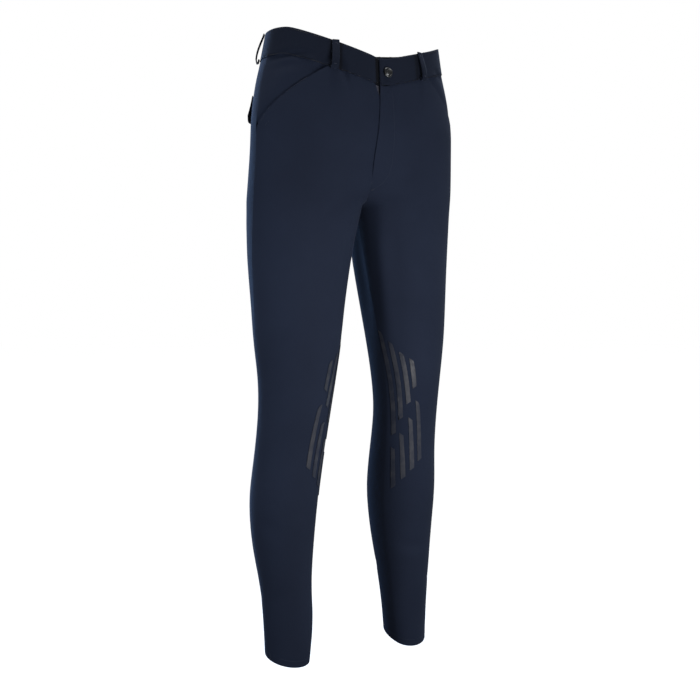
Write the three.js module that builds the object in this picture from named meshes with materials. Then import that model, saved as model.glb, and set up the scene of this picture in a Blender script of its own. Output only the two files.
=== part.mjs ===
// Men's riding breeches, filled out as worn, front towards -Y, wearer's right at -X.
// The origin is in the middle of the waist opening, level with the waistband's top at the side.
// Lengths are millimetres. A height is measured up from the hem along the side.

import * as THREE from 'three';

// Driving dimensions
const outseam = 990;          // hem to the waistband's top edge at the side
const crotch = 717;           // hem to the crotch point
const cloth = 1.6;            // thickness of one layer of the breeches' cloth
const hemCloth = 2.6;         // the turned-up hem, sewn flat
const hemDepth = 12;          // height of the turned-up hem
const seamGap = 0.32;         // air between two pieces at a seam
const bandHeight = 43;        // waistband, top to waist seam
const bandCloth = 3.2;        // waistband: two layers and its stiffening
const bandProud = 0.6;        // how far the waistband stands out from the panels
const waistDip = 44;          // how far the waistband's top falls at the centre front
const waistRise = 4;          // how far it rises at the centre back
const waistTilt = 3;          // the waist sits this much higher at the wearer's left side
const dipReach = 0.38;        // how far round the fall goes, as a share of the way to the centre back
const dipPower = 1.25;        // how much the fall steepens towards the centre front
const riseStart = 0.55;       // how far round the rise starts
const hemSlope = 0.42;        // the hem falls this much for each mm towards the toes
const hemSlopeHeight = 140;   // the slope fades out up to here
const halfWaist = 170;        // the waist's half-width, by which places round it are told
const overlap = 8;            // left front's fly edge past the centre, towards the right
const flyFoot = 735;          // height where the fly starts above the crotch
const pocketFoot = 835;       // height where the slanted pocket meets the side seam
const pocketReach = 101;      // distance from the side seam to the pocket's corner at the waist
const facingUnder = 9;        // how far the pocket facing runs on under the front
const facingSink = 3.0;       // how deep it lies there
const flyRamp = 65;           // height over which the fly reaches its full width
const flySinkLow = 760;       // height where the right front starts to sink under the left one
const flySinkRamp = 40;       // height over which it reaches its full depth
const flySinkWidth = 16;      // width over which it comes level with the left one again
const gapeLow = 917;          // height where the right front starts to fall open at the fly
const gapeRamp = 30;          // height over which it opens
const gapeWidth = 13;         // how far it opens at the waist
const tuckLow = 800;          // height from where the right front goes under the left one
const tuckWidth = 5;          // how far it goes under
const tuckRamp = 20;          // height over which it does
const bandUnder = 30;         // how far the waistband's right end goes under, past the centre
const bandSink = 1.2;         // air between the waistband's two ends
const bandStepIn = 9.5;       // where the waistband's right end is down at its full depth
const bandStepOut = 14;       // where it starts to step down, so that a dark gap shows beside the left end
const frontSink = 0.6;        // air between the two fronts
const angleStep = 0.005;      // step, in radians, in which a distance along the cloth is walked
const endZone = 0.3;          // width, in radians, of the inner end where points follow the arc's end
const waistSeam = outseam - bandHeight;

// Each row is a level section of one leg, or of one half of the hips.
// side: half-width at the side seam.  front, back: depth of the front and back panel.
// innerFront, innerBack: inner end of the panel's arc. Above the crotch it is past the centre line.
// middle: how far back the side seam lies.  toesOut: degrees that the section is turned outwards.
const sections = [
  { height: 0, side: 156, innerFront: 84, innerBack: 84, middle: 16, front: 28, back: 43, toesOut: 24 },
  { height: 60, side: 159, innerFront: 78, innerBack: 78, middle: 16, front: 30, back: 47, toesOut: 19 },
  { height: 115, side: 161, innerFront: 78, innerBack: 78, middle: 21, front: 38, back: 56, toesOut: 13 },
  { height: 180, side: 170, innerFront: 71, innerBack: 71, middle: 27, front: 46, back: 65, toesOut: 12 },
  { height: 250, side: 175, innerFront: 65, innerBack: 65, middle: 26, front: 52, back: 70, toesOut: 15 },
  { height: 320, side: 172, innerFront: 60, innerBack: 60, middle: 17, front: 48, back: 63, toesOut: 18 },
  { height: 385, side: 171, innerFront: 55, innerBack: 55, middle: 7, front: 47, back: 58, toesOut: 18 },
  { height: 440, side: 173, innerFront: 48, innerBack: 48, middle: 3, front: 52, back: 62, toesOut: 17 },
  { height: 500, side: 180, innerFront: 38, innerBack: 38, middle: 3, front: 57, back: 69, toesOut: 13 },
  { height: 565, side: 183, innerFront: 28, innerBack: 28, middle: 5, front: 62, back: 77, toesOut: 8 },
  { height: 635, side: 188, innerFront: 15, innerBack: 15, middle: 6, front: 62, back: 84, toesOut: 4 },
  { height: 690, side: 190, innerFront: 6, innerBack: 6, middle: 4, front: 60, back: 88, toesOut: 1 },
  { height: 717, side: 191, innerFront: 0, innerBack: 0, middle: 2, front: 57, back: 91, toesOut: 0 },
  { height: 750, side: 192, innerFront: -45, innerBack: -25, middle: -3, front: 55, back: 93, toesOut: 0 },
  { height: 800, side: 191, innerFront: -120, innerBack: -80, middle: -6, front: 60, back: 97, toesOut: 0 },
  { height: 855, side: 189, innerFront: -165, innerBack: -130, middle: -6, front: 70, back: 103, toesOut: 0 },
  { height: 905, side: 180, innerFront: -180, innerBack: -180, middle: -3, front: 78, back: 110, toesOut: 0 },
  { height: 945, side: 169, innerFront: -169, innerBack: -169, middle: -3, front: 78, back: 114, toesOut: 0 },
  { height: 990, side: 160, innerFront: -160, innerBack: -160, middle: -5, front: 73, back: 112, toesOut: 0 },
];

// How much fuller than an ellipse the front is at its inner end, beside the crotch.
const fullness = [
  { height: 565, full: 0 },
  { height: 635, full: 0.1 },
  { height: 690, full: 0.5 },
  { height: 717, full: 0.68 },
  { height: 742, full: 0 },
];

// Heights of the rows of points in a panel: even on the leg, close together at the crotch and
// beside the pocket.
const evenHeights = (low, high, count) => (
  Array.from({ length: count + 1 }, (_, row) => low + (high - low) * row / count));
const crotchRises = [5, 12, 21, 33, 49, 70, 94];
const pocketRows = 10;
const panelHeights = [
  0, hemDepth, ...evenHeights(hemDepth + 3, crotch, 23),
  ...crotchRises.map((rise) => crotch + rise), ...evenHeights(pocketFoot, waistSeam, pocketRows),
];
const panelColumns = 12;

// Belt loops. fromCentre, fromSide: distance along the waistband from the centre line or side seam.
const loops = [
  { name: 'belt_loop_front_right', side: -1, half: 'front', fromCentre: 88 },
  { name: 'belt_loop_front_left', side: 1, half: 'front', fromCentre: 82 },
  { name: 'belt_loop_side_right', side: -1, half: 'back', fromSide: 48 },
  { name: 'belt_loop_side_left', side: 1, half: 'back', fromSide: 48 },
  { name: 'belt_loop_centre_back', side: 1, half: 'back', fromCentre: 0 },
];
const loopWidth = 11;
const loopCloth = 1.4;
const loopHeight = 960;       // where its distance along the waistband is measured
// The middle of a loop's strip from its top down and back up: height, and distance off the panels.
const loopFold = [
  { height: 991, out: 1.9 },
  { height: 985, out: 2.8 },
  { height: 976, out: 5.0 },
  { height: 965, out: 7.0 },
  { height: 955, out: 7.6 },
  { height: 948, out: 6.8 },
  { height: 944, out: 4.8 },
  { height: 945, out: 2.9 },
  { height: 950, out: 2.4 },
];

// Grip bars inside each knee. low, high: heights. lowIn, highIn: distance from the inseam.
const gripBars = [
  { name: 'upper_1', low: 346, high: 516, lowIn: 9, highIn: 2 },
  { name: 'upper_2', low: 372, high: 498, lowIn: 20, highIn: 17 },
  { name: 'upper_3', low: 398, high: 481, lowIn: 33, highIn: 31 },
  { name: 'upper_4', low: 424, high: 470, lowIn: 45, highIn: 46 },
  { name: 'lower_1', low: 256, high: 322, lowIn: 14, highIn: 9 },
  { name: 'lower_2', low: 272, high: 346, lowIn: 30, highIn: 22 },
  { name: 'lower_3', low: 287, high: 372, lowIn: 44, highIn: 36 },
  { name: 'lower_4', low: 302, high: 400, lowIn: 57, highIn: 49 },
];
const barWidth = 7.5;
const barThick = 0.9;
const barSlant = 5;

// Back pocket flap: distances from the side seam, heights of its top and its lower edge, and how
// far its lower edge stands off.
const flap = { near: 38, far: 172, top: 890, low: 848, corner: 9, lift: 3.6, cloth: 1.4 };

// The zip, in millimetres to the wearer's left of the centre, and in depth behind the fly.
const zip = { centre: 4.5, low: 792, high: 946, sliderLow: 914, sliderHigh: 927 };
const tape = { right: 26, left: 15, thick: 0.8, depth: 4.4, clear: 4 };
const chain = { width: 4.4, thick: 1.6, depth: 4 };
const slider = { width: 8.6, taper: 0.28, thick: 3, depth: 3.6, clear: 1 };
const pull = { width: 4.6, low: 893, high: 924, thick: 0.9, depth: 1.9 };
const underlap = { right: -12, left: 22, low: 778, depth: 7.3 };

// The button on the waistband's left end, and its outline from the axis outwards, face up.
const button = { fromCentre: 6.5, height: 968, neck: 3.2, neckLength: 1.3 };
const buttonOutline = [
  { radius: 7.4, height: 0 },
  { radius: 8.5, height: 1.1 },
  { radius: 8.1, height: 1.8 },
  { radius: 7.4, height: 2.9 },
  { radius: 6.3, height: 2.7 },
  { radius: 5.5, height: 2.2 },
  { radius: 0, height: 2.5 },
];
const buttonSides = 20;

const smooth = (value) => THREE.MathUtils.smoothstep(value, 0, 1);

// The value of one column of a table at a height, on a smooth curve through the rows.
function column(name, height, table = sections) {
  const last = table.length - 1;
  const slope = (row) => {
    const below = table[Math.max(row - 1, 0)];
    const above = table[Math.min(row + 1, last)];
    return (above[name] - below[name]) / (above.height - below.height);
  };
  let row = 0;
  while (row < last - 1 && height > table[row + 1].height) row += 1;
  const from = table[row];
  const to = table[row + 1];
  const span = to.height - from.height;
  const t = (height - from.height) / span;
  const startPart = (1 + 2 * t) * (1 - t) ** 2 * from[name] + t * (1 - t) ** 2 * span * slope(row);
  const endPart = t * t * (3 - 2 * t) * to[name] - t * t * (1 - t) * span * slope(row + 1);
  return startPart + endPart;
}

// One half of a level section: the arc of the front or the back panel.
function arc(half, height) {
  const isFront = half === 'front';
  const side = column('side', height);
  const inner = Math.max(column(isFront ? 'innerFront' : 'innerBack', height), -side);
  const open = height > crotch;
  const beside = height > fullness[0].height && height < fullness[fullness.length - 1].height;
  const centre = (side + (open ? Math.min(inner, 0) : inner)) / 2;
  const halfWidth = side - centre;
  return {
    centre,
    halfWidth,
    middle: column('middle', height),
    depth: isFront ? -column('front', height) : column('back', height),
    full: isFront && beside ? column('full', height, fullness) : 0,
    turn: height < crotch ? THREE.MathUtils.degToRad(column('toesOut', height)) : 0,
    inner: open ? -Math.asin(Math.min(centre / halfWidth, 1)) : -Math.PI / 2,
  };
}

// The angle on the arc where the cloth is x to its own side of the centre line.
function angleAt(shape, x) {
  const own = THREE.MathUtils.clamp((Math.abs(x) - shape.centre) / shape.halfWidth, -1, 1);
  return x < 0 ? 2 * shape.inner - Math.asin(own) : Math.asin(own);
}

// The angle on the arc at a distance along the cloth from the side seam, or from its inner end.
function angleAlong(shape, distance, fromSide) {
  const step = fromSide ? -angleStep : angleStep;
  let angle = fromSide ? Math.PI / 2 : shape.inner;
  let left = distance;
  while (left > 0) {
    const across = shape.halfWidth * Math.cos(angle);
    const away = shape.depth * Math.sin(angle);
    const stretch = Math.abs(step) * Math.hypot(across, away);
    angle += step * Math.min(left / stretch, 1);
    left -= stretch;
  }
  return angle;
}

// How far up or down the cloth is moved at the waist and at the hem.
function levelShift(side, x, y, shape, height) {
  const top = smooth((height - flyFoot) / (waistSeam - flyFoot));
  const forwards = -(y - shape.middle) / Math.abs(shape.depth);
  const halfTurn = Math.atan2(Math.abs(x) / halfWaist, forwards) / Math.PI;
  const dip = waistDip * Math.max(1 - halfTurn / dipReach, 0) ** dipPower;
  const rise = waistRise * smooth((halfTurn - riseStart) / (1 - riseStart));
  const tilt = waistTilt * side * x / halfWaist;
  const hem = smooth(1 - height / hemSlopeHeight) * hemSlope * (y - shape.middle);
  return top * (rise - dip + tilt) + hem;
}

// A point on the breeches' outer face. An angle past the centre line is on the other half.
function skinPoint(side, half, height, angle) {
  const shape = arc(half, height);
  const past = height > crotch && angle < shape.inner;
  const t = past ? 2 * shape.inner - angle : angle;
  const across = shape.halfWidth * Math.sin(t);
  const fuller = t < 0 ? 1 + shape.full * Math.sin(t) ** 2 : 1;
  const away = shape.depth * Math.cos(t) * fuller;
  const cos = Math.cos(shape.turn);
  const sin = Math.sin(shape.turn);
  const x = (shape.centre + across * cos - away * sin) * (past ? -1 : 1);
  const y = shape.middle + across * sin + away * cos;
  return new THREE.Vector3(side * x, y, height - outseam + levelShift(side, x, y, shape, height));
}

// The direction straight out of the cloth at that point.
function skinNormal(side, half, height, angle) {
  const shape = arc(half, height);
  const atEnd = angle - shape.inner < angleStep;
  if (height === crotch && atEnd) return new THREE.Vector3(0, 0, -1);
  const up = 3;
  const round = 0.02;
  const near = Math.min(angle + round, Math.PI / 2);
  const far = near - round;
  const shift = (step) => arc(half, height + step).inner - shape.inner;
  const followed = angle - shape.inner < endZone ? 1 : 0;
  const above = skinPoint(side, half, height + up, angle + followed * shift(up));
  const below = skinPoint(side, half, height - up, angle + followed * shift(-up));
  const along = skinPoint(side, half, height, near).sub(skinPoint(side, half, height, far));
  const normal = along.cross(above.sub(below)).normalize();
  if (half === 'back') normal.negate();
  if (side < 0) normal.negate();
  const onCentre = height > crotch && Math.abs(angle - shape.inner) < 0.001;
  return onCentre ? normal.setX(0).normalize() : normal;
}

// A closed wall from a grid of outer points and the grid of inner points behind it.
function wall(name, outer, inner, material) {
  const rows = outer.length;
  const columns = outer[0].length;
  const points = [...outer.flat(), ...inner.flat()];
  const behind = rows * columns;
  const faces = [];
  const quad = (a, b, c, d) => faces.push(a, b, c, a, c, d);
  for (let row = 0; row < rows - 1; row += 1) {
    for (let step = 0; step < columns - 1; step += 1) {
      const a = row * columns + step;
      const d = a + columns;
      quad(a, a + 1, d + 1, d);
      quad(behind + d, behind + d + 1, behind + a + 1, behind + a);
    }
  }
  const rim = [];
  for (let step = 0; step < columns - 1; step += 1) rim.push(step);
  for (let row = 0; row < rows - 1; row += 1) rim.push(row * columns + columns - 1);
  for (let step = columns - 1; step > 0; step -= 1) rim.push((rows - 1) * columns + step);
  for (let row = rows - 1; row > 0; row -= 1) rim.push(row * columns);
  rim.forEach((from, index) => {
    const to = rim[(index + 1) % rim.length];
    quad(behind + from, behind + to, to, from);
  });
  return closedMesh(name, points, faces, material);
}

// A mesh of those points and faces, with its faces turned outwards.
function closedMesh(name, points, faces, material) {
  let volume = 0;
  for (let i = 0; i < faces.length; i += 3) {
    const [a, b, c] = [points[faces[i]], points[faces[i + 1]], points[faces[i + 2]]];
    volume += a.dot(b.clone().cross(c));
  }
  if (volume < 0) faces.reverse();
  const geometry = new THREE.BufferGeometry().setFromPoints(points);
  geometry.setIndex(faces);
  geometry.computeVertexNormals();
  const mesh = new THREE.Mesh(geometry, material);
  mesh.name = name;
  return mesh;
}

// A wall that lies on the panels. place gives the half, height and angle of a point, and how far
// out of the cloth the wall's face and its back are there.
function layer(name, side, rows, columns, place, material) {
  const outer = [];
  const inner = [];
  for (let row = 0; row <= rows; row += 1) {
    outer.push([]);
    inner.push([]);
    for (let step = 0; step <= columns; step += 1) {
      const { half, height, angle, face, back, keepClear } = place(row, step);
      const point = skinPoint(side, half, height, angle);
      const normal = skinNormal(side, half, height, angle);
      [[outer, face], [inner, back]].forEach(([grid, out]) => {
        const moved = point.clone().addScaledVector(normal, out);
        if (keepClear) moved.x = side * Math.max(side * moved.x, seamGap / 2);
        grid[row].push(moved);
      });
    }
  }
  return wall(name, outer, inner, material);
}

const fabric = new THREE.MeshStandardMaterial({ color: 0x1b202c, roughness: 0.85, metalness: 0 });
const facingCloth = new THREE.MeshStandardMaterial({ color: 0x191e2a, roughness: 0.85, metalness: 0 });
const tapeCloth = new THREE.MeshStandardMaterial({ color: 0x8c93a0, roughness: 0.8, metalness: 0 });
const silicone = new THREE.MeshStandardMaterial({ color: 0x6f767f, roughness: 0.45, metalness: 0 });
const darkMetal = new THREE.MeshStandardMaterial({ color: 0x5c5f62, roughness: 0.35, metalness: 1 });

// How much of the fly there is at a height: none at its foot, all of it a little higher.
const flyShare = (height) => smooth((height - flyFoot) / flyRamp);

// Where a front panel ends at the fly, to its own side of the centre. The right front goes under
// the left one, and near the waist it falls open and shows the zip's tape.
function flyEdge(side, height) {
  if (side > 0) return -overlap * flyShare(height);
  const tucked = tuckWidth * smooth((height - tuckLow) / tuckRamp);
  const fallenOpen = gapeWidth * smooth((height - gapeLow) / gapeRamp);
  return (overlap + seamGap) * flyShare(height) - tucked + fallenOpen;
}

// How far the right front is sunk, to pass under the left one.
function flySink(height, x) {
  const up = smooth((height - flySinkLow) / flySinkRamp);
  return (cloth + frontSink) * up * (1 - smooth((x - overlap - 1) / flySinkWidth));
}

// The distance from the side seam to the slanted pocket's edge.
function pocketEdge(height) {
  return pocketReach * Math.max((height - pocketFoot) / (waistSeam - pocketFoot), 0);
}

const clothAt = (height) => (height <= hemDepth ? hemCloth : cloth);

// Between the two edges of a panel, at a height: the angles of its columns.
function frontAngles(side, height) {
  const shape = arc('front', height);
  const atInseam = height <= crotch;
  const start = atInseam
    ? angleAlong(shape, seamGap / 2, false)
    : angleAt(shape, flyEdge(side, height) + seamGap / 2);
  return [start, angleAlong(shape, pocketEdge(height) + seamGap / 2, true)];
}

function backAngles(height) {
  const shape = arc('back', height);
  const start = height <= crotch
    ? angleAlong(shape, seamGap / 2, false)
    : angleAt(shape, seamGap / 2);
  return [start, angleAlong(shape, seamGap / 2, true)];
}

function frontPanel(name, side) {
  return layer(name, side, panelHeights.length - 1, panelColumns, (row, step) => {
    const height = panelHeights[row];
    const [start, end] = frontAngles(side, height);
    const angle = start + (end - start) * step / panelColumns;
    const x = side * skinPoint(side, 'front', height, angle).x;
    const sink = side < 0 ? flySink(height, x) : 0;
    const keepClear = height >= crotch && height <= flyFoot;
    return { half: 'front', height, angle, face: -sink, back: -sink - clothAt(height), keepClear };
  }, fabric);
}

function backPanel(name, side) {
  return layer(name, side, panelHeights.length - 1, panelColumns, (row, step) => {
    const height = panelHeights[row];
    const [start, end] = backAngles(height);
    const angle = start + (end - start) * step / panelColumns;
    return { half: 'back', height, angle, face: 0, back: -clothAt(height), keepClear: height >= crotch };
  }, fabric);
}

// The side front seen in the pocket's mouth. It runs on under the front panel, and comes up level
// with the back panel at the side seam.
function pocketFacing(name, side) {
  const rows = pocketRows;
  const columns = 6;
  const level = 3;
  const ramp = 22;
  return layer(name, side, rows, columns, (row, step) => {
    const height = pocketFoot + (waistSeam - pocketFoot) * row / rows;
    const reach = (pocketEdge(height) + facingUnder) * (1 - step / columns) + seamGap / 2;
    const angle = angleAlong(arc('front', height), reach, true);
    const sink = facingSink * (1 - smooth((pocketEdge(height) - reach - level) / ramp));
    return { half: 'front', height, angle, face: -sink, back: -sink - cloth };
  }, facingCloth);
}

// Half of the waistband, from the closure at the front, past the side, to the centre back. The
// right half steps down to pass under the left one.
function waistband(name, side) {
  const rows = 4;
  const half = 15;
  const ends = side > 0 ? [-overlap] : [-bandUnder, -bandStepIn, bandStepIn, bandStepOut];
  const evenFrom = ends.length - 1;
  return layer(name, side, rows, 2 * half, (row, step) => {
    const height = waistSeam + seamGap + (bandHeight - seamGap) * row / rows;
    if (step > half) {
      const start = angleAt(arc('back', height), seamGap / 2);
      const angle = start + (Math.PI / 2 - start) * (2 - step / half);
      return { half: 'back', height, angle, face: bandProud, back: bandProud - bandCloth };
    }
    const start = angleAt(arc('front', height), ends[Math.min(step, evenFrom)]);
    const share = Math.max(step - evenFrom, 0) / (half - evenFrom);
    const angle = start + (Math.PI / 2 - start) * share;
    const face = step < evenFrom ? bandProud - bandCloth - bandSink : bandProud;
    return { half: 'front', height, angle, face, back: face - bandCloth };
  }, fabric);
}

function pocketFlap(name, side) {
  const rows = 3;
  const columns = 12;
  return layer(name, side, rows, columns, (row, step) => {
    const drop = row / rows;
    const corner = step === 0 || step === columns ? flap.corner : 0;
    const height = flap.top - (flap.top - flap.low - corner) * drop;
    const reach = flap.near + (flap.far - flap.near) * step / columns;
    const angle = angleAlong(arc('back', height), reach, true);
    const back = seamGap + flap.lift * drop ** 2;
    return { half: 'back', height, angle, face: back + flap.cloth, back };
  }, fabric);
}

// A strip that stands off the waistband between its two sewn ends.
function beltLoop({ name, side, half, fromCentre, fromSide }) {
  const onSide = fromSide !== undefined;
  const angle = angleAlong(arc(half, loopHeight), onSide ? fromSide : fromCentre, onSide);
  const centres = loopFold.map(({ height, out }) => (
    skinPoint(side, half, height, angle).addScaledVector(skinNormal(side, half, height, angle), out)));
  const across = skinPoint(side, half, waistSeam, angle + angleStep)
    .sub(skinPoint(side, half, waistSeam, angle - angleStep)).setZ(0).normalize();
  const outer = [];
  const inner = [];
  centres.forEach((centre, index) => {
    const before = centres[Math.max(index - 1, 0)];
    const after = centres[Math.min(index + 1, centres.length - 1)];
    const through = after.clone().sub(before).cross(across).normalize().multiplyScalar(loopCloth / 2);
    const ends = [-1, 1].map((end) => centre.clone().addScaledVector(across, end * loopWidth / 2));
    outer.push(ends.map((end) => end.clone().add(through)));
    inner.push(ends.map((end) => end.clone().sub(through)));
  });
  return wall(name, outer, inner, fabric);
}

// A flat piece behind the fly, between two distances from the centre, as deep as it is told.
function flyStrip(name, heights, edges, depth, thick, material) {
  const columns = 3;
  return layer(name, 1, heights.length - 1, columns, (row, step) => {
    const height = heights[row];
    const [from, to] = edges(height);
    const angle = angleAt(arc('front', height), from + (to - from) * step / columns);
    return { half: 'front', height, angle, face: -depth, back: -depth - thick };
  }, material);
}

function zipper() {
  const { centre, low, high, sliderLow, sliderHigh } = zip;
  const belowSlider = evenHeights(low, sliderLow - tape.clear, 6);
  const tapeHeights = [...belowSlider, sliderLow - slider.clear, ...evenHeights(sliderHigh, high, 1)];
  const tapeInner = (height) => {
    const besideSlider = height >= sliderLow - slider.clear;
    return seamGap + (besideSlider ? slider.width : chain.width) / 2;
  };
  const rightTape = (height) => [centre - tape.right, centre - tapeInner(height)];
  const leftTape = (height) => [centre + tapeInner(height), centre + tape.left];
  const evenly = (width) => () => [centre - width / 2, centre + width / 2];
  const tapered = (height) => {
    const share = smooth((height - sliderLow) / (sliderHigh - sliderLow));
    const half = slider.width / 2 * (1 - slider.taper + slider.taper * share);
    return [centre - half, centre + half];
  };
  const chainHeights = evenHeights(low, sliderLow - seamGap, 6);
  const sliderHeights = evenHeights(sliderLow, sliderHigh, 4);
  const pullHeights = evenHeights(pull.low, pull.high, 4);
  const underlapHeights = evenHeights(underlap.low, high, 7);
  const underlapEdges = () => [underlap.right, underlap.left];
  return [
    flyStrip('zip_tape_right', tapeHeights, rightTape, tape.depth, tape.thick, tapeCloth),
    flyStrip('zip_tape_left', tapeHeights, leftTape, tape.depth, tape.thick, tapeCloth),
    flyStrip('zip_chain', chainHeights, evenly(chain.width), chain.depth, chain.thick, darkMetal),
    flyStrip('zip_slider', sliderHeights, tapered, slider.depth, slider.thick, darkMetal),
    flyStrip('zip_pull', pullHeights, evenly(pull.width), pull.depth, pull.thick, darkMetal),
    flyStrip('fly_underlap', underlapHeights, underlapEdges, underlap.depth, cloth, fabric),
  ];
}

function waistButton() {
  const { fromCentre, height, neck, neckLength } = button;
  const profile = [
    new THREE.Vector2(0, 0),
    new THREE.Vector2(neck, 0),
    new THREE.Vector2(neck, neckLength),
    ...buttonOutline.map((ring) => new THREE.Vector2(ring.radius, neckLength + ring.height)),
  ];
  const turned = new THREE.LatheGeometry(profile, buttonSides);
  const mesh = new THREE.Mesh(turned, darkMetal);
  const angle = angleAt(arc('front', height), fromCentre);
  const normal = skinNormal(1, 'front', height, angle);
  mesh.name = 'waist_button';
  mesh.position.copy(skinPoint(1, 'front', height, angle)).addScaledVector(normal, bandProud + seamGap);
  mesh.quaternion.setFromUnitVectors(new THREE.Vector3(0, 1, 0), normal);
  return mesh;
}

function gripBar(name, side, { low, high, lowIn, highIn }) {
  const rows = 5;
  const columns = 2;
  return layer(name, side, rows, columns, (row, step) => {
    const share = row / rows;
    const across = step / columns - 0.5;
    const height = low + (high - low) * share + barSlant * across * (share < 0.5 ? 1 : -1);
    const reach = lowIn + (highIn - lowIn) * share + barWidth * (across + 0.5);
    const angle = angleAlong(arc('front', height), reach, false);
    return { half: 'front', height, angle, face: seamGap + barThick, back: seamGap };
  }, silicone);
}

const breeches = new THREE.Group();
[['right', -1], ['left', 1]].forEach(([word, side]) => {
  breeches.add(frontPanel(`front_${word}`, side));
  breeches.add(backPanel(`back_${word}`, side));
  breeches.add(pocketFacing(`pocket_facing_${word}`, side));
  breeches.add(waistband(`waistband_${word}`, side));
  breeches.add(pocketFlap(`back_pocket_flap_${word}`, side));
  gripBars.forEach((bar) => breeches.add(gripBar(`grip_${word}_${bar.name}`, side, bar)));
});
loops.forEach((loop) => breeches.add(beltLoop(loop)));
zipper().forEach((piece) => breeches.add(piece));
breeches.add(waistButton());

export default breeches;
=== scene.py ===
import math
from collections import namedtuple

import bmesh
import bpy
import numpy as np
from mathutils import Matrix, Vector
from mathutils.bvhtree import BVHTree
from mathutils.kdtree import KDTree


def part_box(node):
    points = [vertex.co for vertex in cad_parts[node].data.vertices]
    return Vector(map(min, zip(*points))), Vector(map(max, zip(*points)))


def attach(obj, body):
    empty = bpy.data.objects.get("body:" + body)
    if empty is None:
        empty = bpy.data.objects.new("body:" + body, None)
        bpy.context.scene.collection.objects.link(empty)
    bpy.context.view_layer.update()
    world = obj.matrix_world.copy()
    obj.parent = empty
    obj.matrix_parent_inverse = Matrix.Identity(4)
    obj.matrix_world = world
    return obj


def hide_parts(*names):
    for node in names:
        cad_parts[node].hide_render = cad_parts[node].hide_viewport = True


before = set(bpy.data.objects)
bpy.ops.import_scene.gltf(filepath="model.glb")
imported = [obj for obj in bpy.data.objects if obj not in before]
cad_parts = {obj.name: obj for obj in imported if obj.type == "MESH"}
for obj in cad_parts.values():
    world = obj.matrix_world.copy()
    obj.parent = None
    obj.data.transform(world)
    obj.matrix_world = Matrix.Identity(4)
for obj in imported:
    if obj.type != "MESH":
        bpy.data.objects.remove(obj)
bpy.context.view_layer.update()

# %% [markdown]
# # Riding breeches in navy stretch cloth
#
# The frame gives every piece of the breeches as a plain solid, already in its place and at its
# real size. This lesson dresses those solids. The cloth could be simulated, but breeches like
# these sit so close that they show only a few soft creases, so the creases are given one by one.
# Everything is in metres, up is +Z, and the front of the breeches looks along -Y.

scene = bpy.context.scene
scene.view_settings.view_transform = "Standard"
mm = 0.001
outseam = 990

# %% [markdown]
# ## The camera
#
# In the photograph the perspective is gentle: the far hem is only a little smaller than the near
# one. That is a long lens a couple of metres away. A camera could be aimed at the object with a
# constraint, but a fixed place and a level view keep the legs upright. The picture is moved a
# little inside its frame by the lens's shift, as the photograph is cropped.

# %% Stand the camera in front, to the wearer's right
picture_width = 700
view_turn = math.radians(35)
view_distance = 1.95
view_height = -0.4715
focal_pixels = 1191.45
sensor_width = 36
right_pixels = 5
up_pixels = 20

lens = bpy.data.cameras.new("photo_camera")
lens.sensor_width = sensor_width
lens.lens = focal_pixels / picture_width * sensor_width
lens.shift_x = -right_pixels / picture_width
lens.shift_y = -up_pixels / picture_width
camera = bpy.data.objects.new("photo_camera", lens)
camera.location = (-math.sin(view_turn) * view_distance, -math.cos(view_turn) * view_distance, view_height)
camera.rotation_euler = (math.radians(90), 0, -view_turn)
scene.collection.objects.link(camera)
scene.camera = camera
print("lens:", round(lens.lens, 1), "mm")

# %% [markdown]
# ## A class for shader maths
#
# A material is a web of nodes. Written one node at a time it is hard to read, so this small class
# wraps one output of a node and lets Python's own signs add the Math nodes. Every other node is
# made by a single method that takes its type, its settings and what goes into its sockets.

# %% Wrap a node's output so that it can be added and multiplied
class Shade:
    """One output of a node. An expression on it adds Math nodes to the same recipe."""

    def __init__(self, recipe, socket):
        self.recipe = recipe
        self.socket = socket

    def maths(self, operation, *values):
        return self.recipe.node("ShaderNodeMath", {"operation": operation}, dict(enumerate(values)))

    def __add__(self, other):
        return self.maths("ADD", self, other)

    def __radd__(self, other):
        return self.maths("ADD", other, self)

    def __sub__(self, other):
        return self.maths("SUBTRACT", self, other)

    def __rsub__(self, other):
        return self.maths("SUBTRACT", other, self)

    def __mul__(self, other):
        return self.maths("MULTIPLY", self, other)

    def __rmul__(self, other):
        return self.maths("MULTIPLY", other, self)

    def sine(self):
        return self.maths("SINE", self)

    def power(self, other):
        return self.maths("POWER", self, other)


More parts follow.
